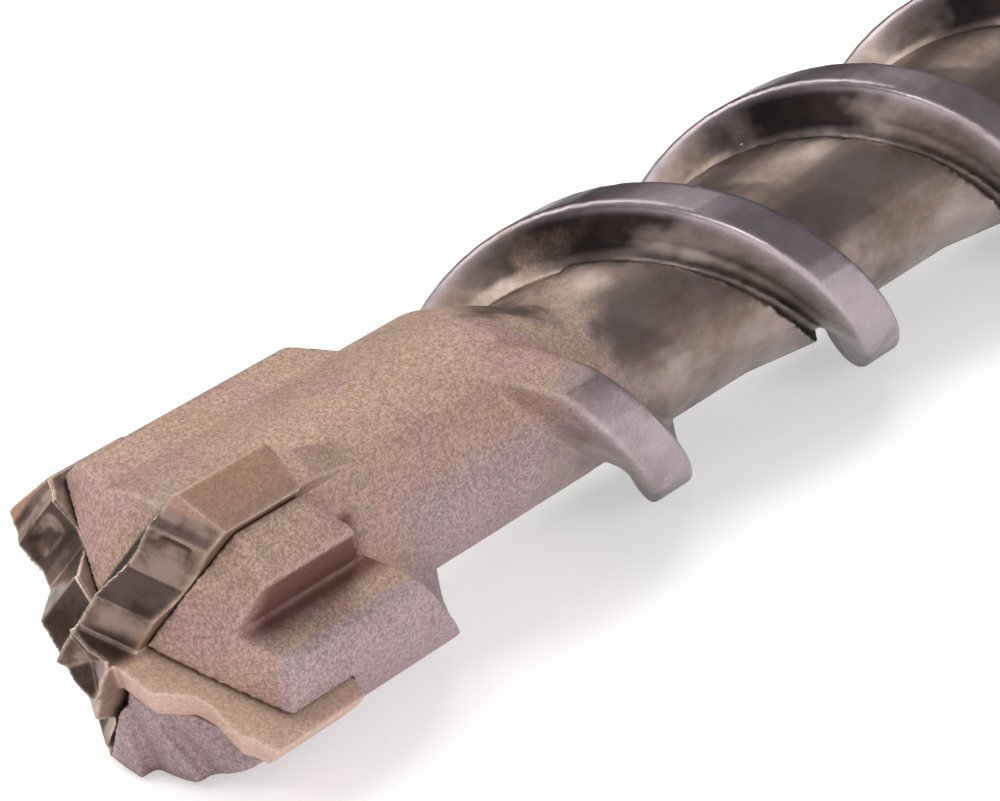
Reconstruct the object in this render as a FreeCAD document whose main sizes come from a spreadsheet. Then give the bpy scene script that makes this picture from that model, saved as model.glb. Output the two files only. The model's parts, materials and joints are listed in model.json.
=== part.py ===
# Four-edge masonry drill bit: a forged steel body with a double-start helix, a cross-shaped
# carbide insert seated in the head and a slotted hammer-drill shank, lying as it rests.
import FreeCAD, Part
import os

import Sketcher
from FreeCAD import Placement, Rotation, Vector

# Driving dimensions in millimetres and degrees. Axial places named "from the tip" are measured
# from the tip back towards the shank. Angles run about the drill axis, anticlockwise as seen
# from the tip, and start at the first arm of the insert; the bit turns towards larger angles.
SIZES = {
    "overall_length": 320.0,
    "shank_diameter": 18.0,
    "shank_length": 100.0,
    "insertion_length": 90.0,
    "shank_chamfer": 1.2,
    "drive_groove_width": 6.0,
    "drive_groove_depth": 2.6,
    "drive_groove_length": 62.0,
    "drive_groove_spread": 40.0,
    "lock_groove_width": 6.6,
    "lock_groove_depth": 3.2,
    "lock_groove_start": 24.0,
    "lock_groove_end": 56.0,
    "stem_taper_length": 6.0,
    "core_diameter": 17.6,
    "flange_diameter": 28.9,
    "flange_width": 6.1,
    "flange_back_slope": 0.9,
    "flange_edge_round": 0.35,
    "flange_foot_reach": 2.0,
    "flange_foot_fade": 0.4,
    "flange_foot_rise": 1.6,
    "flange_foot_bend": 0.5,
    "flange_root_bite": 1.0,
    "helix_lead": 63.0,
    "helix_turns": 2.5,
    "helix_start_from_tip": 42.2,
    "helix_start_angle": -1.0,
    "flange_rise_angle": 5.0,
    "flange_rise_half_width": 9.0,
    "flange_rise_length": 22.0,
    "helix_runout": 16.0,
    "helix_runout_gap": 1.0,
    "ridge_diameter": 19.86,
    "ridge_ahead": 2.9,
    "ridge_drop": 0.8,
    "ridge_clear": 2.4,
    "ridge_lead_on": 40.0,
    "neck_diameter": 24.3,
    "neck_end_from_tip": 47.0,
    "neck_taper": 10.0,
    "head_diameter": 29.5,
    "head_rim_from_tip": 10.0,
    "head_cone_rise": 8.1,
    "head_back_from_tip": 34.6,
    "head_back_slope": 2.9,
    "wing_step": 0.15,
    "wing_trail_foot": 49.0,
    "wing_trail_top": 70.0,
    "wing_lead_top": 123.0,
    "wing_lead_foot": 141.0,
    "small_wing_trail": -40.0,
    "small_wing_lead": 6.0,
    "small_wing_back_from_tip": 18.0,
    "small_wing_end_from_tip": 27.0,
    "heel_steps": 3,
    "heel_step_angle": 21.0,
    "heel_centre_from_tip": 2.2,
    "heel_rim_from_tip": 9.2,
    "heel_step_rise": 1.8,
    "valley_diameter": 21.2,
    "valley_near_angle": -27.0,
    "valley_floor_angle": -45.0,
    "valley_far_angle": -59.0,
    "near_valley_end_from_tip": 28.0,
    "far_valley_end_from_tip": 38.0,
    "channel_start_angle": -8.0,
    "channel_width": 26.4,
    "channel_sweep": 195.0,
    "channel_entry_sweep": 43.0,
    "far_channel_start_angle": -207.0,
    "far_channel_width": 13.8,
    "far_channel_sweep": 120.0,
    "cutting_diameter": 33.0,
    "insert_thickness": 4.9,
    "insert_seat_from_tip": 17.6,
    "insert_corner_chamfer": 0.5,
    "insert_relief_angle": 27.0,
    "point_slope_angle": 22.5,
    "arm_end_relief": 1.3,
    "braze_gap": 0.4,
    "shoulder_radius_place": 2.6,
    "shoulder_height": 0.3,
    "crest_radius_place": 6.2,
    "crest_height": 1.0,
    "trough_radius_place": 8.2,
    "trough_end_radius_place": 9.8,
    "trough_depth": 1.0,
    "ledge_radius_place": 13.2,
    "ledge_height": 0.35,
    "ledge_fall": 1.0,
    "lying_roll": 58.0,
    "cutter_clearance": 4.0,
    "rim_clearance": 0.8,
    "root_bite": 0.4,
    "surface_skin": 0.05,
    "axial_clearance": 1.0,
}


def add_sizes(doc: FreeCAD.Document):
    """Write every driving dimension into a spreadsheet whose cells carry the names."""
    sheet = doc.addObject("Spreadsheet::Sheet", "sizes")
    for row, (name, value) in enumerate(SIZES.items(), start=1):
        sheet.set(f"A{row}", name.replace("_", " "))
        sheet.set(f"B{row}", repr(value))
        sheet.setAlias(f"B{row}", name)
    doc.recompute()
    return sheet


def origin_feature(body, role: str):
    """Return the plane or axis of a body's own origin that has this role."""
    return next(item for item in body.Origin.OriginFeatures if item.Role == role)


def add_sketch(body, name: str, role: str, turn: str = "0", height: str = "0"):
    """Attach a sketch to an origin plane, turned about and moved along the drill axis."""
    sketch = body.newObject("Sketcher::SketchObject", name)
    sketch.AttachmentSupport = [(origin_feature(body, role), "")]
    sketch.MapMode = "FlatFace"
    if role == "XY_Plane":
        sketch.setExpression("AttachmentOffset.Base.z", height)
        sketch.setExpression("AttachmentOffset.Rotation.Angle", turn)
        return sketch
    # The upright plane's own second direction is the drill axis.
    sketch.AttachmentOffset = Placement(Vector(0, 0, 0), Rotation(Vector(0, 1, 0), 1))
    sketch.setExpression("AttachmentOffset.Rotation.Angle", turn)
    return sketch


def number(sketch, formula: str) -> float:
    """Work out a formula of sheet names as a plain number."""
    result = sketch.evalExpression(formula)
    return float(getattr(result, "Value", result))


def hold_point(sketch, geometry: int, vertex: int, across: str, along: str):
    """Fix a vertex at two formulas measured from the sketch's origin."""
    point = sketch.getPoint(geometry, vertex)
    for kind, formula, value in (("DistanceX", across, point.x), ("DistanceY", along, point.y)):
        index = sketch.addConstraint(Sketcher.Constraint(kind, -1, 1, geometry, vertex, value))
        sketch.setExpression(f"Constraints[{index}]", formula)


def close_outline(sketch, corners):
    """Draw a closed outline of straight sides whose corners follow formulas of the sheet's sizes."""
    places = [Vector(number(sketch, across), number(sketch, along), 0) for across, along in corners]
    count = len(places)
    for side in range(count):
        sketch.addGeometry(Part.LineSegment(places[side], places[(side + 1) % count]), False)
    for side, (across, along) in enumerate(corners):
        sketch.addConstraint(Sketcher.Constraint("Coincident", side, 2, (side + 1) % count, 1))
        hold_point(sketch, side, 1, across, along)


def polar(radius: str, angle: str):
    """Give the two coordinates of a point named by its radius and its angle in degrees."""
    return f"({radius}) * cos(({angle}) * 1 deg)", f"({radius}) * sin(({angle}) * 1 deg)"


def from_tip(distance: str) -> str:
    """Turn a distance behind the tip into a height above the shank's end."""
    return f"sizes.overall_length - ({distance})"


def add_extrusion(body, kind: str, name: str, sketch, length: str, backwards: bool = False):
    """Pad or pocket a sketch by a formula."""
    feature = body.newObject(f"PartDesign::{kind}", name)
    feature.Profile = sketch
    feature.Reversed = backwards
    feature.setExpression("Length", length)
    return feature


def add_turned(body, kind: str, name: str, sketch, angle: str = "360"):
    """Revolve or groove a sketch round the drill axis, by a full turn unless told otherwise."""
    feature = body.newObject(f"PartDesign::{kind}", name)
    feature.Profile = sketch
    feature.ReferenceAxis = (sketch, ["V_Axis"])
    feature.setExpression("Angle", angle)
    return feature


def add_helix(body, kind: str, name: str, sketch, turns: str):
    """Sweep a sketch up the drill axis along the helix lead."""
    feature = body.newObject(f"PartDesign::{kind}", name)
    feature.Profile = sketch
    feature.ReferenceAxis = (sketch, ["V_Axis"])
    feature.Mode = "pitch-turns-angle"
    feature.setExpression("Pitch", "sizes.helix_lead")
    feature.setExpression("Turns", turns)
    return feature


def repeat_round(body, name: str, features, count: int):
    """Repeat features evenly round the drill axis."""
    pattern = body.newObject("PartDesign::PolarPattern", name)
    pattern.Originals = features
    pattern.Axis = (origin_feature(body, "Z_Axis"), [""])
    pattern.Angle = 360
    pattern.Occurrences = count
    body.Tip = pattern
    return pattern


def add_blank(body):
    """Turn the shank, stem, helix core and neck in one piece."""
    outline = add_sketch(body, "blank_outline", "XZ_Plane")
    close_outline(outline, [
        ("0", "0"),
        ("sizes.shank_diameter / 2 - sizes.shank_chamfer", "0"),
        ("sizes.shank_diameter / 2", "sizes.shank_chamfer"),
        ("sizes.shank_diameter / 2", "sizes.shank_length"),
        ("sizes.core_diameter / 2", "sizes.shank_length + sizes.stem_taper_length"),
        ("sizes.core_diameter / 2", from_tip("sizes.neck_end_from_tip + sizes.neck_taper")),
        ("sizes.neck_diameter / 2", from_tip("sizes.neck_end_from_tip")),
        ("sizes.neck_diameter / 2", "sizes.overall_length"),
        ("0", "sizes.overall_length"),
    ])
    add_turned(body, "Revolution", "blank", outline)


def add_wings(body):
    """Raise the broad wings and the narrow wings of the head from the neck."""
    length = "sizes.head_back_from_tip + sizes.head_back_slope"
    beyond = "sizes.head_diameter / 2 + sizes.cutter_clearance"
    above_rim = "sizes.head_diameter / 2 + sizes.rim_clearance"
    broad = add_sketch(body, "broad_wing_section", "XY_Plane", height="sizes.overall_length")
    close_outline(broad, [
        ("0", "0"),
        polar("sizes.neck_diameter / 2 - sizes.root_bite", "sizes.wing_trail_foot"),
        polar(above_rim, "sizes.wing_trail_top"),
        polar(beyond, "sizes.wing_trail_top"),
        polar(f"{beyond} + sizes.cutter_clearance",
              "(sizes.wing_trail_top + sizes.wing_lead_top) / 2"),
        polar(beyond, "sizes.wing_lead_top"),
        polar(above_rim, "sizes.wing_lead_top"),
        polar("sizes.valley_diameter / 2 - sizes.root_bite", "sizes.wing_lead_foot"),
    ])
    broad_pad = add_extrusion(body, "Pad", "broad_wing", broad, length, backwards=True)
    small = add_sketch(body, "narrow_wing_outline", "XZ_Plane", turn="sizes.small_wing_trail")
    close_outline(small, [
        ("0", from_tip("0")),
        (above_rim, from_tip("0")),
        (above_rim, from_tip("sizes.small_wing_back_from_tip")),
        ("sizes.neck_diameter / 2 - sizes.root_bite", from_tip("sizes.small_wing_end_from_tip")),
        ("0", from_tip("sizes.small_wing_end_from_tip")),
    ])
    small_wing = add_turned(body, "Revolution", "narrow_wing", small,
                            "sizes.small_wing_lead - sizes.small_wing_trail")
    repeat_round(body, "wings", [broad_pad, small_wing], 2)


def turn_head(body):
    """Turn the wings to the head's outline: the front cone, the rim and the sloped back."""
    outline = add_sketch(body, "head_outline", "XZ_Plane")
    cone_top = "sizes.head_rim_from_tip - sizes.head_cone_rise"
    back = "sizes.head_back_from_tip + sizes.head_back_slope"
    ahead = "sizes.overall_length + sizes.axial_clearance"
    behind = from_tip(f"{back} + sizes.axial_clearance")
    close_outline(outline, [
        ("0", ahead),
        ("0", from_tip(cone_top)),
        ("sizes.head_diameter / 2", from_tip("sizes.head_rim_from_tip")),
        ("sizes.head_diameter / 2", from_tip("sizes.head_back_from_tip")),
        ("sizes.neck_diameter / 2 + sizes.wing_step", from_tip(back)),
        ("sizes.neck_diameter / 2 + sizes.wing_step", behind),
        ("sizes.head_diameter", behind),
        ("sizes.head_diameter", ahead),
    ])
    add_turned(body, "Groove", "head_turning", outline)


def add_heel(body):
    """Fill the front ahead of the far narrow wing with steel that rises to it in steps."""
    trail = "sizes.small_wing_lead - 180"
    back = "sizes.small_wing_back_from_tip"
    end = "sizes.small_wing_end_from_tip"
    for step in range(SIZES["heel_steps"]):
        outline = add_sketch(body, f"heel_{step + 1}_outline", "XZ_Plane", turn=trail)
        rim = f"sizes.heel_rim_from_tip - {step} * sizes.heel_step_rise"
        close_outline(outline, [
            ("0", from_tip("sizes.heel_centre_from_tip")),
            ("sizes.head_diameter / 2", from_tip(rim)),
            ("sizes.head_diameter / 2", from_tip(back)),
            ("sizes.neck_diameter / 2 - sizes.root_bite", from_tip(end)),
            ("0", from_tip(end)),
        ])
        add_turned(body, "Revolution", f"heel_{step + 1}", outline,
                   f"(sizes.heel_steps - {step}) * sizes.heel_step_angle")


def cut_valleys(body):
    """Cut the chip valley ahead of each broad wing; the far one runs on behind the head."""
    beyond = "sizes.head_diameter / 2 + sizes.cutter_clearance"
    above_rim = "sizes.head_diameter / 2 + sizes.rim_clearance"
    ends = (("near_valley", "0", "sizes.near_valley_end_from_tip"),
            ("far_valley", "180", "sizes.far_valley_end_from_tip"))
    for name, turn, end in ends:
        section = add_sketch(body, f"{name}_section", "XY_Plane", turn=turn,
                             height="sizes.overall_length")
        close_outline(section, [
            polar(above_rim, "sizes.valley_near_angle"),
            polar("sizes.valley_diameter / 2", "sizes.valley_floor_angle"),
            polar(above_rim, "sizes.valley_far_angle"),
            polar(beyond, "sizes.valley_far_angle"),
            polar(beyond, "sizes.valley_near_angle"),
        ])
        add_extrusion(body, "Pocket", name, section, end)


def cut_channels(body):
    """Cut the two chip channels that lead from the valleys into the helix."""
    sides = (
        ("near_channel", "sizes.channel_start_angle", "sizes.channel_width",
         "sizes.channel_sweep", "0"),
        ("far_channel", "sizes.far_channel_start_angle", "sizes.far_channel_width",
         "sizes.far_channel_sweep", "180"),
    )
    for name, angle, width, sweep, half_turn in sides:
        # A right-hand channel is swept upwards, so it begins at its lowest angle.
        first = f"{angle} - {sweep}"
        along = f"({first} - sizes.helix_start_angle + {half_turn}) / 360 * sizes.helix_lead"
        edge = from_tip(f"sizes.helix_start_from_tip - ({along})")
        section = add_sketch(body, f"{name}_section", "XZ_Plane", turn=first)
        under_flange = f"{edge} - sizes.flange_width / 2"
        floor = "sizes.core_diameter / 2 + sizes.surface_skin"
        beyond = "sizes.head_diameter / 2 + sizes.cutter_clearance"
        close_outline(section, [
            (floor, under_flange),
            (beyond, under_flange),
            (beyond, f"{edge} + {width}"),
            (floor, f"{edge} + {width}"),
        ])
        add_helix(body, "SubtractiveHelix", name, section, f"({sweep}) / 360")
        # A flat entry leads from the neck down to the channel's floor.
        from_flange = f"({angle} - sizes.helix_start_angle + {half_turn}) / 360 * sizes.helix_lead"
        rear = from_tip(f"sizes.helix_start_from_tip - ({from_flange}) + sizes.flange_width")
        entry = add_sketch(body, f"{name}_entry_section", "XY_Plane", height=rear)
        close_outline(entry, [
            ("0", "0"),
            polar("sizes.neck_diameter / 2", angle),
            polar("sizes.core_diameter / 2", f"{angle} - sizes.channel_entry_sweep"),
        ])
        add_extrusion(body, "Pad", f"{name}_entry", entry, f"{width} + sizes.flange_width")


def add_flanges(body):
    """Sweep one flange and the low ridge ahead of it, then repeat both half a turn round."""
    start = "sizes.helix_start_angle - 360 * sizes.helix_turns"
    edge = from_tip("sizes.helix_start_from_tip + sizes.helix_lead * sizes.helix_turns")
    flange = add_sketch(body, "flange_section", "XZ_Plane", turn=start)
    root = "sizes.core_diameter / 2 - sizes.flange_root_bite"
    close_outline(flange, [
        (root, f"{edge} + sizes.flange_foot_reach"),
        ("sizes.core_diameter / 2", f"{edge} + sizes.flange_foot_reach - sizes.flange_foot_fade"),
        ("sizes.core_diameter / 2 + sizes.flange_foot_rise", f"{edge} + sizes.flange_foot_bend"),
        ("sizes.flange_diameter / 2 - sizes.flange_edge_round", edge),
        ("sizes.flange_diameter / 2", f"{edge} - sizes.flange_edge_round"),
        ("sizes.flange_diameter / 2", f"{edge} - sizes.flange_width + 2 * sizes.flange_edge_round"),
        ("sizes.flange_diameter / 2 - 2 * sizes.flange_edge_round", f"{edge} - sizes.flange_width"),
        (root, f"{edge} - sizes.flange_width - sizes.flange_back_slope"),
    ])
    sweep = add_helix(body, "AdditiveHelix", "flange", flange, "sizes.helix_turns")
    # The ridge begins half a turn later, where the next flange already stands behind it.
    ridge = add_sketch(body, "ridge_section", "XZ_Plane", turn=f"{start} + 180")
    half = "sizes.helix_lead / 2"
    close_outline(ridge, [
        (root, f"{edge} + sizes.ridge_ahead + sizes.ridge_drop"),
        ("sizes.ridge_diameter / 2", f"{edge} + sizes.ridge_ahead"),
        (root, f"{edge} + {half} - sizes.flange_width - sizes.flange_back_slope"
               " - sizes.ridge_clear"),
    ])
    low = add_helix(body, "AdditiveHelix", "ridge", ridge,
                    "sizes.helix_turns - 1 / 2 + sizes.ridge_lead_on / 360")
    repeat_round(body, "second_start", [sweep, low], 2)


def shape_flange_ends(body):
    """Let both flanges rise out of the neck over a flat and run out on the stem."""
    begin = from_tip("sizes.helix_start_from_tip - sizes.axial_clearance")
    front = add_sketch(body, "flange_rise_section", "XY_Plane", turn="sizes.flange_rise_angle",
                       height=begin)
    over_neck = "sizes.neck_diameter / 2 + sizes.surface_skin"
    over_flange = "sizes.flange_diameter / 2 + sizes.surface_skin"
    beyond = "sizes.flange_diameter / 2 + sizes.cutter_clearance"
    side = "sizes.flange_rise_half_width"
    close_outline(front, [
        (over_neck, f"-{side}"),
        (beyond, f"-{side}"),
        (beyond, side),
        (over_neck, side),
    ])
    rise = add_extrusion(body, "Pocket", "flange_rise", front, "sizes.flange_rise_length")
    repeat_round(body, "flange_starts", [rise], 2)
    back = add_sketch(body, "flange_runout", "XZ_Plane")
    foot = from_tip("sizes.helix_start_from_tip + sizes.helix_lead * sizes.helix_turns + "
                    "sizes.flange_width + sizes.flange_back_slope + sizes.helix_runout_gap")
    close_outline(back, [
        ("sizes.core_diameter / 2 + sizes.surface_skin", foot),
        (over_flange, f"{foot} + sizes.helix_runout"),
        (beyond, f"{foot} + sizes.helix_runout"),
        (beyond, foot),
    ])
    add_turned(body, "Groove", "flange_end", back)


def cut_insert_seat(body):
    """Cut the crossed slot that the insert stands in, open on its leading side for the braze."""
    section = add_sketch(body, "seat_section", "XY_Plane", height="sizes.overall_length")
    trailing = "-sizes.insert_thickness / 2"
    leading = "sizes.insert_thickness / 2 + sizes.braze_gap"
    beyond = "sizes.cutting_diameter / 2 + sizes.cutter_clearance"
    close_outline(section, [
        (trailing, trailing),
        (beyond, trailing),
        (beyond, leading),
        (trailing, leading),
    ])
    slot = add_extrusion(body, "Pocket", "seat", section, "sizes.insert_seat_from_tip")
    repeat_round(body, "seats", [slot], 4)


def cut_shank_grooves(body):
    """Cut three open drive grooves and two closed lock grooves into the shank."""
    top = "sizes.shank_diameter / 2 + sizes.cutter_clearance"
    side = "sizes.drive_groove_width / 2"
    floor = "sizes.shank_diameter / 2 - sizes.drive_groove_depth"
    turns = ("90", "270 - sizes.drive_groove_spread", "270 + sizes.drive_groove_spread")
    for place, turn in enumerate(turns, start=1):
        drive = add_sketch(body, f"drive_groove_{place}_section", "XY_Plane", turn=turn)
        close_outline(drive, [(floor, f"-{side}"), (top, f"-{side}"), (top, side), (floor, side)])
        add_extrusion(body, "Pocket", f"drive_groove_{place}", drive, "sizes.drive_groove_length",
                      backwards=True)
    lock = add_sketch(body, "lock_groove_section", "XY_Plane",
                      height="sizes.lock_groove_start")
    side = "sizes.lock_groove_width / 2"
    floor = "sizes.shank_diameter / 2 - sizes.lock_groove_depth"
    close_outline(lock, [(floor, f"-{side}"), (top, f"-{side}"), (top, side), (floor, side)])
    pocket = add_extrusion(body, "Pocket", "lock_groove", lock,
                           "sizes.lock_groove_end - sizes.lock_groove_start", backwards=True)
    repeat_round(body, "lock_grooves", [pocket], 2)


def make_drill_body(doc):
    """Make the forged steel body: shank, stem, helix, neck and winged head."""
    body = doc.addObject("PartDesign::Body", "drill_body")
    body.Label = "drill_body"
    add_blank(body)
    add_wings(body)
    turn_head(body)
    add_heel(body)
    cut_valleys(body)
    cut_channels(body)
    add_flanges(body)
    shape_flange_ends(body)
    cut_insert_seat(body)
    cut_shank_grooves(body)
    return body


def arm_front(radius: str, height: str = "0") -> tuple:
    """Place a point of an arm's front edge: the point slope, plus a height of the wave."""
    slope = f"tan(sizes.point_slope_angle * 1 deg) * ({radius})"
    return radius, from_tip(f"{slope} - ({height})")


def make_insert(doc):
    """Make the cross-shaped carbide insert with four waved, relieved cutting arms."""
    body = doc.addObject("PartDesign::Body", "cross_insert")
    body.Label = "cross_insert"
    side = add_sketch(body, "arm_outline", "XZ_Plane")
    # The outline lies in the leading face, which stands half a thickness off the axis.
    side.setExpression("AttachmentOffset.Base.z", "-sizes.insert_thickness / 2")
    reach = "sizes.cutting_diameter / 2 + sizes.cutter_clearance"
    # The slanted pad ends this far lower at its trailing face, and the trim levels its foot.
    drop = "sizes.insert_thickness * tan(sizes.insert_relief_angle * 1 deg)"
    deep = from_tip(f"sizes.insert_seat_from_tip + {drop} + sizes.axial_clearance")
    close_outline(side, [
        ("-sizes.insert_thickness / 2", deep),
        (reach, deep),
        arm_front(reach),
        arm_front("sizes.ledge_radius_place + sizes.ledge_fall"),
        arm_front("sizes.ledge_radius_place", "sizes.ledge_height"),
        arm_front("sizes.ledge_radius_place - sizes.ledge_fall", "0"),
        arm_front("sizes.trough_end_radius_place", "-sizes.trough_depth"),
        arm_front("sizes.trough_radius_place", "-sizes.trough_depth"),
        arm_front("sizes.crest_radius_place", "sizes.crest_height"),
        arm_front("sizes.shoulder_radius_place", "sizes.shoulder_height"),
        arm_front("0"),
        ("-sizes.insert_thickness / 2", from_tip("0")),
    ])
    arm = body.newObject("PartDesign::Pad", "arm")
    arm.Profile = side
    arm.UseCustomVector = True
    arm.setExpression("Direction.x", "0")
    arm.setExpression("Direction.y", "-cos(sizes.insert_relief_angle * 1 deg)")
    arm.setExpression("Direction.z", "-sin(sizes.insert_relief_angle * 1 deg)")
    arm.AlongSketchNormal = True
    arm.setExpression("Length", "sizes.insert_thickness")
    repeat_round(body, "arms", [arm], 4)
    trim = add_sketch(body, "insert_trim", "XZ_Plane")
    inner = "sizes.cutting_diameter / 2"
    seat = from_tip("sizes.insert_seat_from_tip")
    below = from_tip(f"sizes.insert_seat_from_tip + 2 * ({drop}) + 2 * sizes.axial_clearance")
    ahead = "sizes.overall_length + sizes.axial_clearance"
    beyond = f"{reach} + sizes.cutter_clearance"
    close_outline(trim, [
        ("0", below),
        ("0", seat),
        (f"{inner} - sizes.insert_corner_chamfer", seat),
        (inner, f"{seat} + sizes.insert_corner_chamfer"),
        (inner, ahead),
        (beyond, ahead),
        (beyond, below),
    ])
    add_turned(body, "Groove", "trimmed", trim)
    relief = add_sketch(body, "arm_end_section", "XY_Plane", height=ahead)
    half = "sizes.insert_thickness / 2"
    close_outline(relief, [
        (inner, half),
        (f"{inner} - sizes.arm_end_relief", f"-{half}"),
        (f"{inner} - sizes.arm_end_relief", f"-{half} - sizes.axial_clearance"),
        (beyond, f"-{half} - sizes.axial_clearance"),
        (beyond, half),
    ])
    ends = add_extrusion(body, "Pocket", "arm_end", relief,
                         "sizes.insert_seat_from_tip + 2 * sizes.axial_clearance")
    repeat_round(body, "arm_ends", [ends], 4)
    return body


def lay_down(piece):
    """Lay the upright model along +X, rolled to the way the bit rests, with the frame's origin
    on the axis at the end of the inserted stretch of the shank."""
    along = Rotation(Vector(0, 1, 0), Vector(0, 0, 1), Vector(1, 0, 0), "XYZ")
    roll = Rotation(Vector(1, 0, 0), SIZES["lying_roll"])
    piece.Placement = Placement(Vector(-SIZES["insertion_length"], 0, 0), roll.multiply(along))


def check(doc, pieces):
    """Stop on any failed object or unsound solid."""
    for item in doc.Objects:
        if {"Invalid", "Error"} & set(item.State):
            raise RuntimeError(f"{item.Name} failed: {item.State}")
    for piece in pieces:
        if piece.Shape.isNull() or not piece.Shape.isValid():
            raise RuntimeError(f"{piece.Label} has no valid solid")


def main():
    doc = FreeCAD.newDocument("masonry_drill_bit")
    add_sizes(doc)
    pieces = [make_drill_body(doc), make_insert(doc)]
    for piece in pieces:
        lay_down(piece)
    doc.recompute()
    check(doc, pieces)
    os.makedirs("parts", exist_ok=True)
    for piece in pieces:
        piece.Shape.exportStep(f"parts/{piece.Label}.step")
        solids = len(piece.Shape.Solids)
        print(piece.Label, "solids", solids, "volume", round(piece.Shape.Volume, 1))


main()
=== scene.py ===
"""Looks of a four-edge masonry drill bit: worn skins, finishes, studio and camera.

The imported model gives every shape. Each piece gets a dense skin with rounded edges and a
finish made of nodes. Lengths are in metres. The bit lies along X with its tip at the high end.
"""

import json
import logging
import math
from dataclasses import dataclass
from enum import Enum

import bpy
import numpy as np
from mathutils import Matrix, Vector

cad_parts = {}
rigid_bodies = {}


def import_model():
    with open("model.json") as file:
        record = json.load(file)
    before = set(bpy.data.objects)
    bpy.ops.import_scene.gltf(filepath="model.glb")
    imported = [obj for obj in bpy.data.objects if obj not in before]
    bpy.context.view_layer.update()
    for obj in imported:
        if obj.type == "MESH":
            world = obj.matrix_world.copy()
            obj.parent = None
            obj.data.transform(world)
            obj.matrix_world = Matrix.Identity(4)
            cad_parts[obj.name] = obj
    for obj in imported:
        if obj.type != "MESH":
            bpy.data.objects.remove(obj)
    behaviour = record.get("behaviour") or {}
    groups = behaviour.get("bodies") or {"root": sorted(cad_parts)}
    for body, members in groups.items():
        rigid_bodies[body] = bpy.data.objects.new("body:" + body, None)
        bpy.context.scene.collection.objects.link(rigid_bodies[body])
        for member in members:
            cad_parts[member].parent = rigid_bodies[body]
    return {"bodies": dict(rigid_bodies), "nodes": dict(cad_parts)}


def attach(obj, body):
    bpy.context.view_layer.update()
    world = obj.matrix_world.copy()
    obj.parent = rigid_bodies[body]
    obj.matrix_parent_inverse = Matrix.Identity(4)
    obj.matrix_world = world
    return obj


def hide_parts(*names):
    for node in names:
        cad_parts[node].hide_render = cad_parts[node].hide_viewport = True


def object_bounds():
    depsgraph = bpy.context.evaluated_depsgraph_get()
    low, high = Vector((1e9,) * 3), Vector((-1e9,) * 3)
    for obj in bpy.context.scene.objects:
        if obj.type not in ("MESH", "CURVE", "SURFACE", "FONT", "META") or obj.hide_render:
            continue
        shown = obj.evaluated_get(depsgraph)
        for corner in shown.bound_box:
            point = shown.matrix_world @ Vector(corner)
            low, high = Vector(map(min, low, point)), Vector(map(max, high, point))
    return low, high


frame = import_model()
CAD_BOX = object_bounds()
LOG = logging.getLogger("drill_bit")

MM = 0.001
BODY = next(iter(frame["bodies"]))
Colour = tuple[float, float, float]
Span = tuple[float, float]  # Where a change over the surface starts, and where it is complete.


class Kind(str, Enum):
    """The node types that the finishes use, by their plain purpose."""

    BACKGROUND = "ShaderNodeBackground"
    BEVEL = "ShaderNodeBevel"
    BUMP = "ShaderNodeBump"
    COORDINATES = "ShaderNodeTexCoord"
    GEOMETRY = "ShaderNodeNewGeometry"
    GROUP = "ShaderNodeGroup"
    GROUP_INPUT = "NodeGroupInput"
    GROUP_OUTPUT = "NodeGroupOutput"
    LIGHT_PATH = "ShaderNodeLightPath"
    MAP_RANGE = "ShaderNodeMapRange"
    MATH = "ShaderNodeMath"
    MIX = "ShaderNodeMix"
    NOISE = "ShaderNodeTexNoise"
    OCCLUSION = "ShaderNodeAmbientOcclusion"
    PRINCIPLED = "ShaderNodeBsdfPrincipled"
    OUTPUT = "ShaderNodeOutputMaterial"
    SEPARATE = "ShaderNodeSeparateXYZ"
    VECTOR_MATH = "ShaderNodeVectorMath"
    WORLD = "ShaderNodeOutputWorld"


class Rework(str, Enum):
    """The modifiers that wear a piece's edges round."""

    GRID = "REMESH"
    SOFTEN = "SMOOTH"
    THIN = "DECIMATE"


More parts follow.
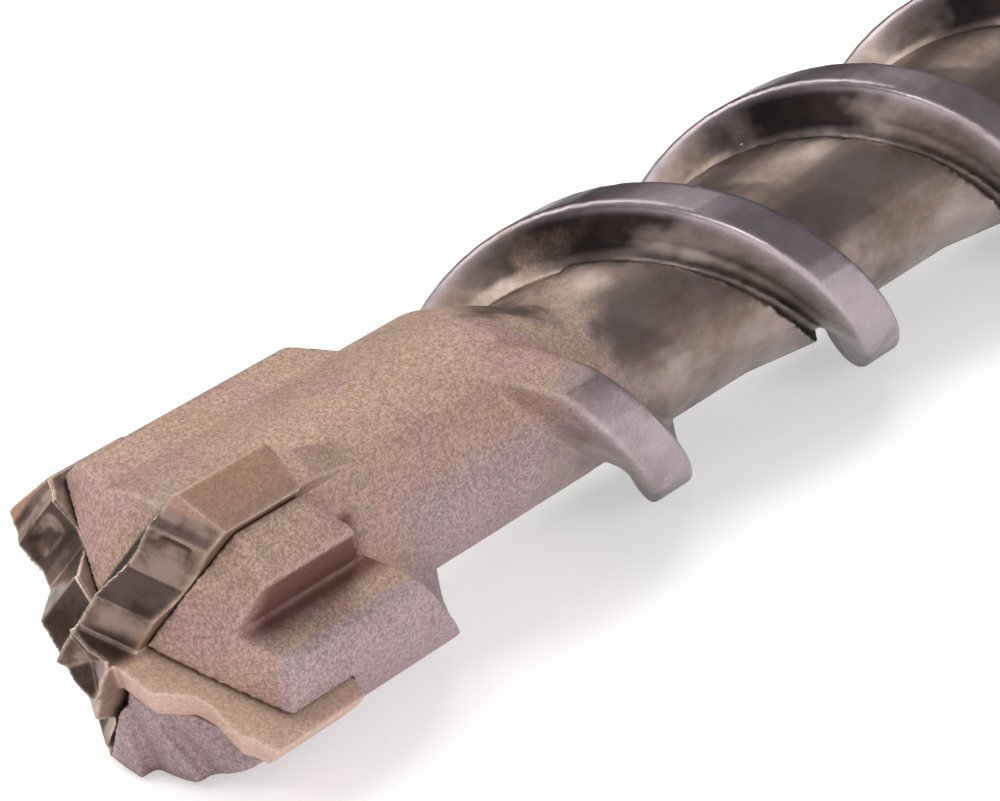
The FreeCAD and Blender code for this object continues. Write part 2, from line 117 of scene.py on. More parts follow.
class Graph:
    """A node tree with short calls for the few kinds of node that the finishes are made of."""

    def __init__(self, tree: bpy.types.NodeTree) -> None:
        """Take over a tree and clear it.

        Args:
            tree: The node tree to build in.
        """
        self.tree = tree
        tree.nodes.clear()

    def add(self, kind: Kind, **settings: object) -> bpy.types.Node:
        """Add a node.

        Args:
            kind: The type of the node.
            settings: Properties to set on the node.

        Returns:
            The new node.
        """
        node = self.tree.nodes.new(kind.value)
        for name, value in settings.items():
            setattr(node, name, value)
        return node

    def feed(self, socket: bpy.types.NodeSocket, value: object) -> None:
        """Link an output to an input socket, or set the socket's own value.

        Args:
            socket: The input socket.
            value: An output socket, a number or a sequence of numbers.
        """
        if isinstance(value, bpy.types.NodeSocket):
            self.tree.links.new(value, socket)
        else:
            socket.default_value = value

    def math(self, operation: str, *values: object, clamp: bool = False) -> bpy.types.NodeSocket:
        """Combine numbers by one operation.

        Args:
            operation: The operation's name.
            values: The numbers or their sockets.
            clamp: Whether the result is kept between 0 and 1.

        Returns:
            The result's socket.
        """
        node = self.add(Kind.MATH, operation=operation, use_clamp=clamp)
        for socket, value in zip(node.inputs, values):
            self.feed(socket, value)
        return node.outputs[0]

    def ramp(self, value: object, low: object, high: object, to_low: float = 0.0,
             to_high: float = 1.0) -> bpy.types.NodeSocket:
        """Rise smoothly from one level to another as a value passes a range.

        Args:
            value: The number that is read.
            low: Where the rise starts.
            high: Where the rise ends.
            to_low: The level before the rise.
            to_high: The level after the rise.

        Returns:
            The level's socket.
        """
        node = self.add(Kind.MAP_RANGE, interpolation_type="SMOOTHSTEP")
        for name, number in (("Value", value), ("From Min", low), ("From Max", high),
                             ("To Min", to_low), ("To Max", to_high)):
            self.feed(node.inputs[name], number)
        return node.outputs["Result"]

    def blend(self, share: object, first: object, second: object) -> bpy.types.NodeSocket:
        """Blend two colours.

        Args:
            share: The second colour's share.
            first: The colour at a share of 0.
            second: The colour at a share of 1.

        Returns:
            The colour's socket.
        """
        node = self.add(Kind.MIX, data_type="RGBA")
        self.feed(node.inputs["Factor"], share)
        for socket, colour in ((node.inputs[6], first), (node.inputs[7], second)):
            is_link = isinstance(colour, bpy.types.NodeSocket)
            self.feed(socket, colour if is_link else (*colour, 1.0))
        return node.outputs[2]

    def scale(self, colour: object, factor: object) -> bpy.types.NodeSocket:
        """Multiply a colour by a number.

        Args:
            colour: The colour's socket.
            factor: The number or its socket.

        Returns:
            The colour's socket.
        """
        node = self.add(Kind.VECTOR_MATH, operation="SCALE")
        self.feed(node.inputs[0], colour)
        self.feed(node.inputs["Scale"], factor)
        return node.outputs[0]

    def noise(self, place: bpy.types.NodeSocket, scale: object, detail: float = 3.0,
              roughness: float = 0.55) -> bpy.types.NodeSocket:
        """Make a fractal noise.

        Args:
            place: Where the noise is read.
            scale: Its cells for each metre.
            detail: Its finer layers.
            roughness: The share that each finer layer keeps.

        Returns:
            The noise's socket.
        """
        node = self.add(Kind.NOISE)
        self.feed(node.inputs["Vector"], place)
        self.feed(node.inputs["Scale"], scale)
        self.feed(node.inputs["Detail"], detail)
        self.feed(node.inputs["Roughness"], roughness)
        return node.outputs["Fac"]


def linear(red: int, green: int, blue: int) -> Colour:
    """Turn a display colour of 0 to 255 into the linear colour that shaders take."""
    return tuple((((v / 255) + 0.055) / 1.055) ** 2.4 if v > 10 else v / 3295
                 for v in (red, green, blue))


class SharedGroup(Graph):
    """The graph of a node group that several finishes use."""

    def __init__(self, name: str, inputs: dict[str, float], outputs: tuple[str, ...]) -> None:
        """Make the group with numbers going in and coming out.

        Args:
            name: The group's name.
            inputs: Input names with their usual values.
            outputs: Output names.
        """
        tree = bpy.data.node_groups.new(name, "ShaderNodeTree")
        number = "NodeSocketFloat"
        for label, value in inputs.items():
            socket = tree.interface.new_socket(label, in_out="INPUT", socket_type=number)
            socket.default_value = value
        for label in outputs:
            tree.interface.new_socket(label, in_out="OUTPUT", socket_type=number)
        super().__init__(tree)
        self.given = self.add(Kind.GROUP_INPUT).outputs
        self.result = self.add(Kind.GROUP_OUTPUT).inputs


def make_edge_wear_sheen_and_shade() -> bpy.types.NodeTree:
    """Make the group of two masks: outer edges that are lightened partly as worn metal and partly
    as a painted highlight, and grooves of painted shade.

    Returns:
        The shared group.
    """
    graph = SharedGroup("edge_wear_sheen_and_shade", {"Reach": 4.0 * MM, "Low": 0.3, "High": 0.8},
                        ("Edge", "Groove"))
    place = graph.add(Kind.COORDINATES).outputs["Object"]
    # Painted shade: where the occlusion finds the surface shut in, the groove mask rises for
    # darkening.
    occlusion = graph.add(Kind.OCCLUSION, samples=4)
    graph.feed(occlusion.inputs["Distance"], graph.given["Reach"])
    openness = occlusion.outputs["AO"]
    wander = graph.ramp(graph.noise(place, 240.0), 0.3, 0.7, -0.08, 0.08)
    shut = graph.math("SUBTRACT", graph.math("ADD", 1.0, wander), openness)
    groove_shade = graph.ramp(shut, graph.given["Low"], graph.given["High"])
    # Outer edges found by the bevel: partly bare worn metal, partly a painted highlight.
    rounded = graph.add(Kind.BEVEL, samples=3)
    graph.feed(rounded.inputs["Radius"], 0.5 * MM)
    likeness = graph.add(Kind.VECTOR_MATH, operation="DOT_PRODUCT")
    graph.feed(likeness.inputs[0], rounded.outputs["Normal"])
    graph.feed(likeness.inputs[1], graph.add(Kind.GEOMETRY).outputs["Normal"])
    bend = graph.ramp(graph.math("SUBTRACT", 1.0, likeness.outputs["Value"]), 0.008, 0.06)
    outer = graph.math("MULTIPLY", bend, graph.ramp(openness, 0.30, 0.60))
    worn = graph.ramp(graph.noise(place, 900.0, 2.0), 0.3, 0.6, 0.4, 1.0)
    graph.feed(graph.result["Edge"], graph.math("MULTIPLY", outer, worn, clamp=True))
    graph.feed(graph.result["Groove"], groove_shade)
    return graph.tree


def make_blasted_grain() -> bpy.types.NodeTree:
    """Make the group of fine speckle that shot blasting leaves: a tone and a height.

    Returns:
        The shared group.
    """
    graph = SharedGroup("blasted_grain", {"Scale": 4000.0}, ("Tone", "Height"))
    place = graph.add(Kind.COORDINATES).outputs["Object"]
    coarse_scale = graph.math("MULTIPLY", graph.given["Scale"], 0.45)
    fine = graph.noise(place, graph.given["Scale"], 2.0, 0.6)
    coarse = graph.noise(place, coarse_scale, 2.0, 0.6)
    mean = graph.math("ADD", graph.math("MULTIPLY", fine, 0.65),
                      graph.math("MULTIPLY", coarse, 0.35))
    graph.feed(graph.result["Tone"], graph.ramp(mean, 0.26, 0.74))
    graph.feed(graph.result["Height"], mean)
    return graph.tree


class Effects:
    """The node groups that the finishes share, made once."""

    def __init__(self) -> None:
        """Make every shared group."""
        self.edge_wear_sheen_and_shade = make_edge_wear_sheen_and_shade()
        self.blasted_grain = make_blasted_grain()


def use_group(graph: Graph, tree: bpy.types.NodeTree, **values: float) -> bpy.types.Node:
    """Place a shared group in a graph.

    Args:
        graph: The graph of the finish.
        tree: The shared group.
        values: Values of its inputs, by their names.

    Returns:
        The group's node.
    """
    node = graph.add(Kind.GROUP)
    node.node_tree = tree
    for name, value in values.items():
        node.inputs[name].default_value = value
    return node


class Spot:
    """The place on the bit that a finish works its colour out for."""

    def __init__(self, graph: Graph) -> None:
        """Read the place and split it.

        Args:
            graph: The graph of the finish.
        """
        self.graph = graph
        self.point = graph.add(Kind.COORDINATES).outputs["Object"]
        parts = graph.add(Kind.SEPARATE)
        graph.feed(parts.inputs[0], self.point)
        self.along, self.side, self.height = parts.outputs
        self.radius = graph.math("SQRT", graph.math(
            "ADD", graph.math("POWER", self.side, 2.0), graph.math("POWER", self.height, 2.0)))

    def turn(self) -> bpy.types.NodeSocket:
        """Return the angle about the axis."""
        return self.graph.math("ARCTAN2", self.height, self.side)

    def reach(self, way: tuple[float, float]) -> bpy.types.NodeSocket:
        """Return how far the place lies from the axis in a direction across the bit.

        Args:
            way: The direction's Y and Z.

        Returns:
            The distance's socket.
        """
        graph = self.graph
        return graph.math("ADD", graph.math("MULTIPLY", self.side, way[0]),
                          graph.math("MULTIPLY", self.height, way[1]))


class Finish:
    """What every finish shares: how its colour, roughness and grain end in one material."""

    name: str
    bump_strength: float

    def close(self, graph: Graph, colour: bpy.types.NodeSocket, metallic: bpy.types.NodeSocket,
              roughness: bpy.types.NodeSocket, height: bpy.types.NodeSocket) -> None:
        """Feed the shader and link it to the output.

        Args:
            graph: The graph of the finish.
            colour: The base colour.
            metallic: The share of bare metal.
            roughness: The roughness.
            height: The height of the grain.
        """
        shader = graph.add(Kind.PRINCIPLED)
        graph.feed(shader.inputs["Base Color"], colour)
        graph.feed(shader.inputs["Metallic"], metallic)
        graph.feed(shader.inputs["Roughness"], roughness)
        bump = graph.add(Kind.BUMP)
        graph.feed(bump.inputs["Strength"], self.bump_strength)
        graph.feed(bump.inputs["Distance"], 0.05 * MM)
        graph.feed(bump.inputs["Height"], height)
        graph.feed(shader.inputs["Normal"], bump.outputs[0])
        graph.feed(graph.add(Kind.OUTPUT).inputs["Surface"], shader.outputs[0])

    def begin(self) -> tuple[bpy.types.Material, Graph]:
        """Begin the material.

        Returns:
            The new material and its empty graph.
        """
        material = bpy.data.materials.new(self.name)
        material.use_nodes = True
        return material, Graph(material.node_tree)


@dataclass(frozen=True)
class ForgedSteel(Finish):
    """Finish of the forged body: blasted tan head and neck, smooth dark helix and shank."""

    name: str = "forged_steel_finish"
    bump_strength: float = 0.5
    blasted: Colour = linear(185, 158, 138)
    blasted_rosy: Colour = linear(184, 150, 142)
    blasted_grey: Colour = linear(164, 148, 146)
    # Painted light: lavender bounce light from the pale floor, laid on the lower side of the head
    # and neck.
    lilac_bounce_light: Colour = linear(178, 157, 158)
    land: Colour = linear(164, 152, 158)
    scale: Colour = linear(156, 141, 135)
    scale_brown: Colour = linear(114, 97, 86)
    # Near black of painted shade: grooves, the slot's leading strip and the strip along the top of
    # the helix.
    painted_dark: Colour = linear(26, 20, 22)
    red_shade: Colour = linear(96, 50, 42)
    # Pale edge colour: partly bare worn metal, partly a painted highlight.
    wear_and_sheen: Colour = linear(228, 214, 202)
    # Directions across the bit towards the lower side that takes the painted lavender bounce light.
    bounce_way: tuple[float, float] = (0.848, -0.530)
    under_bounce_way: tuple[float, float] = (0.225, -0.974)
    slot_way: tuple[float, float] = (-0.848, 0.530)
    # Where the painted red shade on the valley wall lies.
    valley_angle: float = 0.37
    valley_half: Span = (0.19, 0.28)
    valley_rear: Span = (0.2045, 0.2065)
    valley_front: Span = (0.2185, 0.2215)
    valley_rim: Span = (13.8 * MM, 14.4 * MM)
    # Where the painted shade along the slot lies.
    slot_rear: Span = (0.2085, 0.2105)
    slot_near: Span = (2.1 * MM, 2.4 * MM)
    slot_far: Span = (3.6 * MM, 4.0 * MM)
    slot_rim: Span = (13.2 * MM, 14.2 * MM)
    wing_rear: Span = (0.197, 0.203)
    wing_rim: Span = (13.4 * MM, 14.2 * MM)
    # Painted shade: a dark strip about this angle, along the top of the helix, on the flange webs.
    top_shade_angle: float = 1.69
    top_shade_half: Span = (0.25, 0.60)
    flange_foot: Span = (9.2 * MM, 10.2 * MM)
    flange_rim: Span = (13.0 * MM, 14.2 * MM)
    land_rim: Span = (12.4 * MM, 14.2 * MM)
    head_end: float = 0.176
    head_fade: float = 0.010

    def head_colour(self, graph: Graph, spot: Spot, tone: bpy.types.NodeSocket,
                    blotches: bpy.types.NodeSocket) -> bpy.types.NodeSocket:
        """Colour the blasted head and neck: tan with rosy and grey patches, and a painted lavender
        bounce light from the floor on the lower side.

        Args:
            graph: The graph of the finish.
            spot: The place on the bit.
            tone: The tone of the grain.
            blotches: The wide noise that all the colours share.

        Returns:
            The colour's socket.
        """
        patches = graph.noise(spot.point, 130.0, 1.5)
        colour = graph.blend(graph.ramp(patches, 0.45, 0.66), self.blasted, self.blasted_rosy)
        colour = graph.blend(graph.ramp(blotches, 0.5, 0.72, 0.0, 0.6), colour,
                             self.blasted_grey)
        # Painted light: the lower side of the head and neck turns lavender as if lit by the pale
        # floor.
        low_bounce_side = graph.ramp(graph.math("DIVIDE", spot.reach(self.bounce_way), spot.radius),
                              0.35, 0.80)
        wing_or_neck = graph.math("MAXIMUM", graph.ramp(spot.radius, *self.wing_rim),
                                  graph.ramp(spot.along, *self.wing_rear, 1.0, 0.0))
        bottom_bounce = graph.ramp(graph.math("DIVIDE", spot.reach(self.under_bounce_way), spot.radius),
                            0.45, 0.80)
        bounce_share = graph.math("MAXIMUM", graph.math("MULTIPLY", low_bounce_side, wing_or_neck), bottom_bounce)
        colour = graph.blend(graph.math("MULTIPLY", bounce_share, 0.85), colour, self.lilac_bounce_light)
        return graph.scale(colour, graph.ramp(tone, 0.0, 1.0, 0.66, 1.34))

    def helix_colour(self, graph: Graph, spot: Spot, tone: bpy.types.NodeSocket,
                     blotches: bpy.types.NodeSocket,
                     stain: bpy.types.NodeSocket) -> bpy.types.NodeSocket:
        """Colour the helix and shank: brown scale, cleaner lands and a strip of painted shade on
        the flange webs along the top.

        Args:
            graph: The graph of the finish.
            spot: The place on the bit.
            tone: The tone of the grain.
            blotches: The wide noise that all the colours share.
            stain: The noise of the brown scale.

        Returns:
            The colour's socket.
        """
        colour = graph.blend(graph.ramp(stain, 0.34, 0.68, 0.0, 0.95), self.scale,
                             self.scale_brown)
        outside = graph.ramp(spot.radius, *self.land_rim)
        clean = graph.math("MULTIPLY", outside, graph.ramp(stain, 0.50, 0.70, 1.0, 0.45))
        colour = graph.blend(clean, colour, self.land)
        # Painted shade: the flange webs along the top of the helix darken in a strip about one
        # angle.
        beyond = graph.math("ABSOLUTE", graph.math("SUBTRACT", spot.turn(), self.top_shade_angle))
        beyond = graph.math("ADD", beyond, graph.ramp(blotches, 0.3, 0.7, -0.25, 0.25))
        top_shade = graph.math("MULTIPLY", graph.ramp(beyond, *self.top_shade_half, 0.9, 0.0),
                            graph.ramp(spot.radius, *self.flange_foot))
        top_shade = graph.math("MULTIPLY", top_shade,
                            graph.ramp(spot.radius, *self.flange_rim, 1.0, 0.2))
        colour = graph.blend(top_shade, colour, self.painted_dark)
        return graph.scale(colour, graph.ramp(tone, 0.0, 1.0, 0.95, 1.05))

    def valley_shade_mask(self, graph: Graph, spot: Spot) -> bpy.types.NodeSocket:
        """Mask the painted red shade on the valley wall beside the narrow wing.

        Args:
            graph: The graph of the finish.
            spot: The place on the bit.

        Returns:
            The mask's socket.
        """
        aside = graph.math("ABSOLUTE", graph.math("SUBTRACT", spot.turn(), self.valley_angle))
        length = graph.math("MULTIPLY", graph.ramp(spot.along, *self.valley_rear),
                            graph.ramp(spot.along, *self.valley_front, 1.0, 0.0))
        wall = graph.math("MULTIPLY", graph.ramp(aside, *self.valley_half, 1.0, 0.0), length)
        return graph.math("MULTIPLY", wall, graph.ramp(spot.radius, *self.valley_rim, 0.85, 0.0))

    def slot_shade_mask(self, graph: Graph, spot: Spot) -> bpy.types.NodeSocket:
        """Mask the strip of painted shade along the leading side of the insert's slot.

        Args:
            graph: The graph of the finish.
            spot: The place on the bit.

        Returns:
            The mask's socket.
        """
        lead = spot.reach(self.slot_way)
        strip = graph.math("MULTIPLY", graph.ramp(lead, *self.slot_near),
                           graph.ramp(spot.along, *self.slot_rear))
        strip = graph.math("MULTIPLY", graph.ramp(lead, *self.slot_far, 1.0, 0.0), strip)
        return graph.math("MULTIPLY", strip, graph.ramp(spot.radius, *self.slot_rim, 0.9, 0.0))

    def build(self, effects: Effects) -> bpy.types.Material:
        """Make the material.

        Args:
            effects: The shared node groups.

        Returns:
            The material.
        """
        material, graph = self.begin()
        spot = Spot(graph)
        wander = graph.ramp(graph.noise(spot.point, 120.0, 4.0), 0.3, 0.7, -8.0 * MM, 8.0 * MM)
        zone = graph.ramp(graph.math("ADD", spot.along, wander),
                          self.head_end - self.head_fade, self.head_end + self.head_fade)
        grain = use_group(graph, effects.blasted_grain, Scale=4300.0)
        edges = use_group(graph, effects.edge_wear_sheen_and_shade)
        for name, on_helix, on_head in (("Reach", 10.0 * MM, 4.0 * MM), ("Low", 0.16, 0.42),
                                        ("High", 0.52, 0.80)):
            graph.feed(edges.inputs[name], graph.ramp(zone, 0.0, 1.0, on_helix, on_head))
        blotches = graph.noise(spot.point, 75.0, 4.0, 0.6)
        stain = graph.noise(spot.point, 95.0, 5.0, 0.62)
        tone = grain.outputs["Tone"]
        colour = graph.blend(zone, self.helix_colour(graph, spot, tone, blotches, stain),
                             self.head_colour(graph, spot, tone, blotches))
        # Painted shade: the valley wall beside the narrow wing darkens to red.
        colour = graph.blend(self.valley_shade_mask(graph, spot), colour, self.red_shade)
        # Painted shade: a dark strip along the slot's leading side, where the gap lies in shade.
        colour = graph.blend(self.slot_shade_mask(graph, spot), colour, self.painted_dark)
        # Painted shade: grooves darken to near black on the helix and to red shade on the head.
        groove_shade = graph.math("MULTIPLY", edges.outputs["Groove"],
                            graph.ramp(zone, 0.0, 1.0, 0.95, 0.80))
        colour = graph.blend(groove_shade, colour, graph.blend(zone, self.painted_dark, self.red_shade))
        # Painted highlight and wear: open outer edges turn pale.
        rubbed_and_sheen = graph.math("MULTIPLY", edges.outputs["Edge"],
                            graph.ramp(zone, 0.0, 1.0, 0.85, 0.45))
        colour = graph.blend(rubbed_and_sheen, colour, self.wear_and_sheen)
        roughness = graph.math("ADD", graph.ramp(zone, 0.0, 1.0, 0.36, 0.62),
                               graph.ramp(stain, 0.35, 0.65, -0.04, 0.10))
        height = graph.math("MULTIPLY", grain.outputs["Height"],
                            graph.ramp(zone, 0.0, 1.0, 0.12, 1.0))
        self.close(graph, colour, graph.ramp(zone, 0.0, 1.0, 0.95, 0.40), roughness, height)
        return material


@dataclass(frozen=True)
class SinteredCarbide(Finish):
    """Finish of the insert: glossy brown pressed faces, a blasted rim and one light arm, partly
    blasted skin and partly painted light on its up-facing face.
    """

    name: str = "carbide_finish"
    bump_strength: float = 0.4
    polished: Colour = linear(134, 114, 106)
    stain: Colour = linear(82, 65, 58)
    dull: Colour = linear(174, 140, 116)
    # Light tone of one arm: partly blasted skin, partly painted light.
    sandy_and_lit: Colour = linear(214, 184, 160)
    # Near black of painted shade in the insert's grooves.
    painted_dark: Colour = linear(30, 22, 20)
    # Pale edge colour: partly bare worn metal, partly a painted highlight.
    wear_and_sheen: Colour = linear(226, 206, 188)
    lit_arm_way: tuple[float, float] = (0.848, -0.530)
    lit_arm_reach: Span = (1.5 * MM, 3.5 * MM)
    rim: Span = (14.9 * MM, 15.7 * MM)

    def build(self, effects: Effects) -> bpy.types.Material:
        """Make the material.

        Args:
            effects: The shared node groups.

        Returns:
            The material.
        """
        material, graph = self.begin()
        spot = Spot(graph)
        grain = use_group(graph, effects.blasted_grain, Scale=4200.0)
        edges = use_group(graph, effects.edge_wear_sheen_and_shade, Reach=2.0 * MM, Low=0.35, High=0.85)
        # Partly painted light: the arm on this side takes a light blasted tone, as if lit from
        # above.
        sandy_and_lit = graph.ramp(spot.reach(self.lit_arm_way), *self.lit_arm_reach)
        rim = graph.ramp(spot.radius, *self.rim)
        blasted = graph.math("MAXIMUM", rim, sandy_and_lit)
        patches = graph.noise(spot.point, 260.0, 4.0, 0.6)
        pressed = graph.blend(graph.ramp(patches, 0.40, 0.66), self.polished, self.stain)
        skin = graph.scale(graph.blend(sandy_and_lit, self.dull, self.sandy_and_lit),
                           graph.ramp(grain.outputs["Tone"], 0.0, 1.0, 0.8, 1.2))
        colour = graph.blend(blasted, pressed, skin)
        # Painted shade: grooves on the insert darken, less on the light arm.
        groove_shade = graph.math("MULTIPLY", edges.outputs["Groove"],
                            graph.ramp(sandy_and_lit, 0.0, 1.0, 0.85, 0.35))
        colour = graph.blend(groove_shade, colour, self.painted_dark)
        # Painted highlight and wear: open outer edges turn pale.
        rubbed_and_sheen = graph.math("MULTIPLY", edges.outputs["Edge"], 0.7)
        colour = graph.blend(rubbed_and_sheen, colour, self.wear_and_sheen)
        roughness = graph.math("ADD", graph.ramp(blasted, 0.0, 1.0, 0.28, 0.5),
                               graph.ramp(patches, 0.4, 0.7, 0.0, 0.12))
        height = graph.math("MULTIPLY", grain.outputs["Height"],
                            graph.ramp(blasted, 0.0, 1.0, 0.3, 1.0))
        self.close(graph, colour, graph.ramp(blasted, 0.0, 1.0, 0.95, 0.4), roughness, height)
        return material


@dataclass(frozen=True)
class SoftLamp:
    """One round area lamp that faces the middle of the lit part."""

    name: str
    place: tuple[float, float, float]
    size: float
    power: float
    colour: Colour

    def hang(self, target: Vector) -> None:
        """Hang the lamp so that it faces a point.

        Args:
            target: The point that it faces.
        """
        data = bpy.data.lights.new(self.name, "AREA")
        data.shape = "DISK"
        data.size = self.size
        data.energy = self.power
        data.color = self.colour
        lamp = bpy.data.objects.new(self.name, data)
        way = target - Vector(self.place)
        lamp.matrix_world = (Matrix.Translation(self.place)
                             @ way.to_track_quat("-Z", "Y").to_matrix().to_4x4())
        bpy.context.scene.collection.objects.link(lamp)


@dataclass
class Studio:
    """A pale floor, soft lamps and the camera at the photograph's viewing angle."""

    floor_size: float = 6.0
    floor_tint: Colour = (0.84, 0.78, 0.90)
    floor_white: Colour = (0.9, 0.9, 0.9)
    floor_glow: float = 0.45
    sky_level: float = 0.34
    horizon_level: float = 0.26
    back_share: float = 0.25
    sky_rise: Span = (0.0, 0.8)
    front_rise: Span = (-1.0, 0.4)
    sky_colour: Colour = (0.97, 0.95, 1.0)
    target: tuple[float, float, float] = (0.19, 0.0, 0.0)
    lamps: tuple[SoftLamp, ...] = (
        SoftLamp("key_lamp", (0.65, -0.35, 0.80), 0.80, 5.2, (1.0, 0.97, 0.92)),
        SoftLamp("top_lamp", (-0.15, -0.20, 0.95), 0.70, 4.2, (1.0, 0.98, 0.96)),
        SoftLamp("rim_lamp", (0.55, -0.95, 0.25), 0.50, 1.2, (1.0, 0.97, 0.93)),
        SoftLamp("fill_lamp", (0.35, 0.95, 0.45), 0.60, 3.6, (0.97, 0.94, 1.0)),
    )
    view_place: tuple[float, float, float] = (0.40138, 0.22175, 0.16710)
    view_azimuth: float = -135.185
    view_drop: float = 27.798
    view_roll: float = -5.857
    lens: float = 141.9
    sensor: float = 36.0

    def lay_floor(self) -> None:
        """Lay the floor at the object's lowest point: white to the camera, with the shadow kept."""
        half = self.floor_size / 2
        height = CAD_BOX[0][2]
        mesh = bpy.data.meshes.new("floor")
        corners = [(-half, -half, height), (half, -half, height), (half, half, height),
                   (-half, half, height)]
        mesh.from_pydata(corners, [], [(0, 1, 2, 3)])
        floor = bpy.data.objects.new("floor", mesh)
        bpy.context.scene.collection.objects.link(floor)
        material = bpy.data.materials.new("pale_floor")
        material.use_nodes = True
        graph = Graph(material.node_tree)
        shader = graph.add(Kind.PRINCIPLED)
        path = graph.add(Kind.LIGHT_PATH).outputs
        seen = graph.math("MAXIMUM", path["Is Camera Ray"], graph.math(
            "MAXIMUM", path["Is Glossy Ray"], path["Is Transmission Ray"]))
        graph.feed(shader.inputs["Base Color"],
                   graph.blend(seen, self.floor_tint, self.floor_white))
        graph.feed(shader.inputs["Roughness"], 0.9)
        graph.feed(shader.inputs["Specular IOR Level"], 0.0)
        graph.feed(shader.inputs["Emission Color"], (1.0, 1.0, 1.0, 1.0))
        graph.feed(shader.inputs["Emission Strength"],
                   graph.math("MULTIPLY", seen, self.floor_glow))
        graph.feed(graph.add(Kind.OUTPUT).inputs["Surface"], shader.outputs[0])
        mesh.materials.append(material)

    def light(self) -> None:
        """Hang the soft lamps and set the world's light."""
        world = bpy.data.worlds.new("studio_world")
        world.use_nodes = True
        graph = Graph(world.node_tree)
        parts = graph.add(Kind.SEPARATE)
        graph.feed(parts.inputs[0], graph.add(Kind.COORDINATES).outputs["Generated"])
        background = graph.add(Kind.BACKGROUND)
        graph.feed(background.inputs["Color"], (*self.sky_colour, 1.0))
        height = graph.ramp(parts.outputs["Z"], *self.sky_rise, self.horizon_level,
                            self.sky_level)
        front = graph.math("ADD", parts.outputs["X"], parts.outputs["Y"])
        graph.feed(background.inputs["Strength"], graph.math(
            "MULTIPLY", height, graph.ramp(front, *self.front_rise, self.back_share, 1.0)))
        graph.feed(graph.add(Kind.WORLD).inputs["Surface"], background.outputs[0])
        bpy.context.scene.world = world
        for lamp in self.lamps:
            lamp.hang(Vector(self.target))

    def aim_camera(self) -> None:
        """Set the camera at the photograph's place, direction and field of view."""
        azimuth = math.radians(self.view_azimuth)
        drop = math.radians(self.view_drop)
        roll = math.radians(self.view_roll)
        forward = Vector((math.cos(azimuth) * math.cos(drop),
                          math.sin(azimuth) * math.cos(drop), -math.sin(drop)))
        level = forward.cross(Vector((0, 0, 1))).normalized()
        upright = level.cross(forward)
        right = level * math.cos(roll) + upright * math.sin(roll)
        up = right.cross(forward)
        camera = bpy.data.cameras.new("camera")
        camera.lens = self.lens
        camera.sensor_width = self.sensor
        camera.clip_start = 0.01
        viewer = bpy.data.objects.new("camera", camera)
        viewer.matrix_world = Matrix.Translation(self.view_place) @ Matrix(
            (right, up, -forward)).transposed().to_4x4()
        bpy.context.scene.collection.objects.link(viewer)
        bpy.context.scene.camera = viewer

    def build(self) -> None:
        """Set up the whole studio."""
        self.lay_floor()
        self.light()
        self.aim_camera()
        bpy.context.scene.view_settings.view_transform = "Standard"


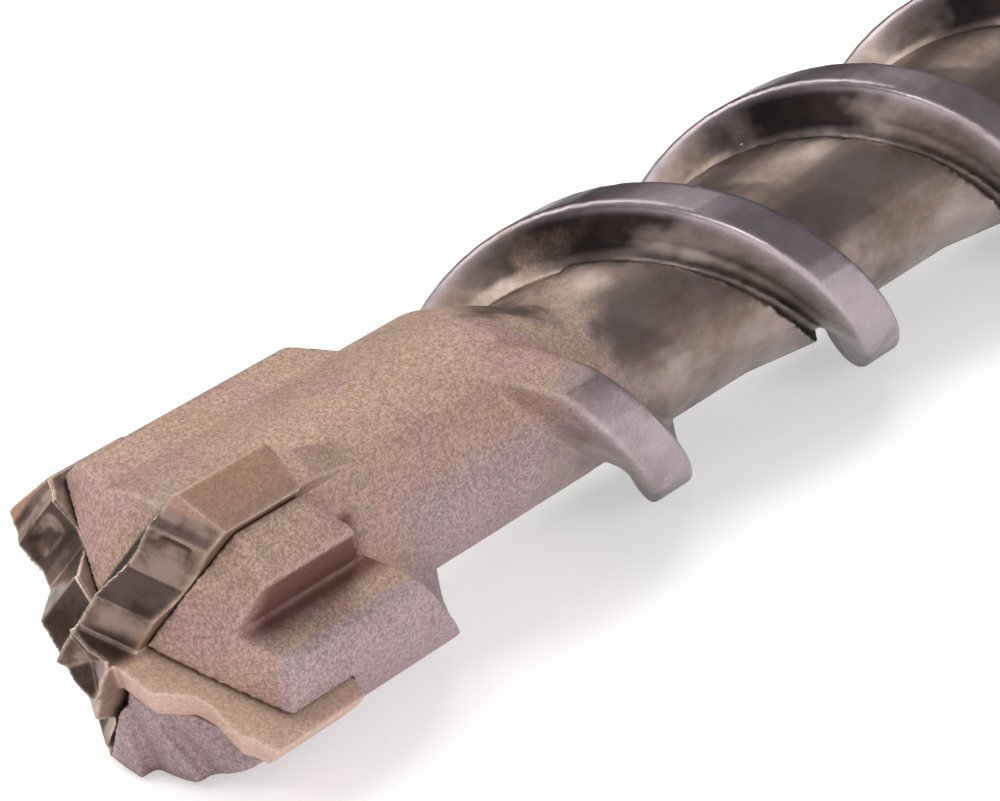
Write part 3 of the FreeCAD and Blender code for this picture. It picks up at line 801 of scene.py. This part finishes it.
@dataclass(frozen=True)
class WornPiece:
    """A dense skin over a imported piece, with its sharp edges worn round."""

    node: str
    grid: float
    rounds: int
    triangles: int = 190000

    def rework(self, piece: bpy.types.Object, kind: Rework, **settings: object) -> None:
        """Run one modifier on the piece and keep its result.

        Args:
            piece: The object whose mesh is reworked.
            kind: The modifier.
            settings: The modifier's own settings.
        """
        modifier = piece.modifiers.new(kind.value.lower(), kind.value)
        for name, value in settings.items():
            setattr(modifier, name, value)
        evaluated = piece.evaluated_get(bpy.context.evaluated_depsgraph_get())
        mesh = bpy.data.meshes.new_from_object(evaluated)
        piece.modifiers.clear()
        piece.data = mesh

    def build(self, finish: bpy.types.Material) -> bpy.types.Object:
        """Make the skin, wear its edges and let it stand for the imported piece.

        Args:
            finish: The piece's material.

        Returns:
            The new piece.
        """
        source = frame["nodes"][self.node]
        piece = bpy.data.objects.new(f"{self.node}_skin", source.data.copy())
        bpy.context.scene.collection.objects.link(piece)
        self.rework(piece, Rework.GRID, mode="VOXEL", voxel_size=self.grid)
        self.rework(piece, Rework.SOFTEN, factor=0.5, iterations=self.rounds)
        count = sum(len(face.vertices) - 2 for face in piece.data.polygons)
        if count > self.triangles:
            self.rework(piece, Rework.THIN, ratio=self.triangles / count)
        piece.data.materials.clear()
        piece.data.materials.append(finish)
        piece.data.shade_smooth()
        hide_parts(self.node)
        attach(piece, BODY)
        return piece


@dataclass(frozen=True)
class DrillBody(WornPiece):
    """The forged body, whose edges are rounded by forging and blasting."""

    node: str = "drill_body"
    grid: float = 0.27 * MM
    rounds: int = 8


@dataclass(frozen=True)
class CrossInsert(WornPiece):
    """The carbide insert, with a shallow pressed dent in the crown of each arm."""

    node: str = "cross_insert"
    grid: float = 0.17 * MM
    rounds: int = 4
    arms: int = 4
    first_arm: float = 58.0
    dent_place: float = 11.6 * MM
    dent_length: float = 1.1 * MM
    dent_width: float = 1.2 * MM
    dent_depth: float = 0.5 * MM

    def build(self, finish: bpy.types.Material) -> bpy.types.Object:
        """Make the skin and press the dents.

        Args:
            finish: The piece's material.

        Returns:
            The new piece.
        """
        piece = super().build(finish)
        vertices = piece.data.vertices
        points = np.empty(len(vertices) * 3)
        normals = np.empty(len(vertices) * 3)
        vertices.foreach_get("co", points)
        vertices.foreach_get("normal", normals)
        points, normals = points.reshape(-1, 3), normals.reshape(-1, 3)
        for arm in range(self.arms):
            turn = math.radians(self.first_arm + 360.0 / self.arms * arm)
            out = points[:, 1] * math.cos(turn) + points[:, 2] * math.sin(turn)
            across = points[:, 2] * math.cos(turn) - points[:, 1] * math.sin(turn)
            dent = np.exp(-((out - self.dent_place) / self.dent_length) ** 4
                          - (across / self.dent_width) ** 4)
            points[:, 0] -= self.dent_depth * dent * np.clip(normals[:, 0], 0.0, 1.0)
        vertices.foreach_set("co", points.ravel())
        piece.data.update()
        return piece


def main() -> None:
    """Build and dress the pieces, log their face counts and set up the studio."""
    effects = Effects()
    for piece in (DrillBody().build(ForgedSteel().build(effects)),
                  CrossInsert().build(SinteredCarbide().build(effects))):
        LOG.info("%s: %d faces", piece.name, len(piece.data.polygons))
    Studio().build()


if __name__ == "__main__":
    logging.basicConfig(level=logging.INFO)
    main()
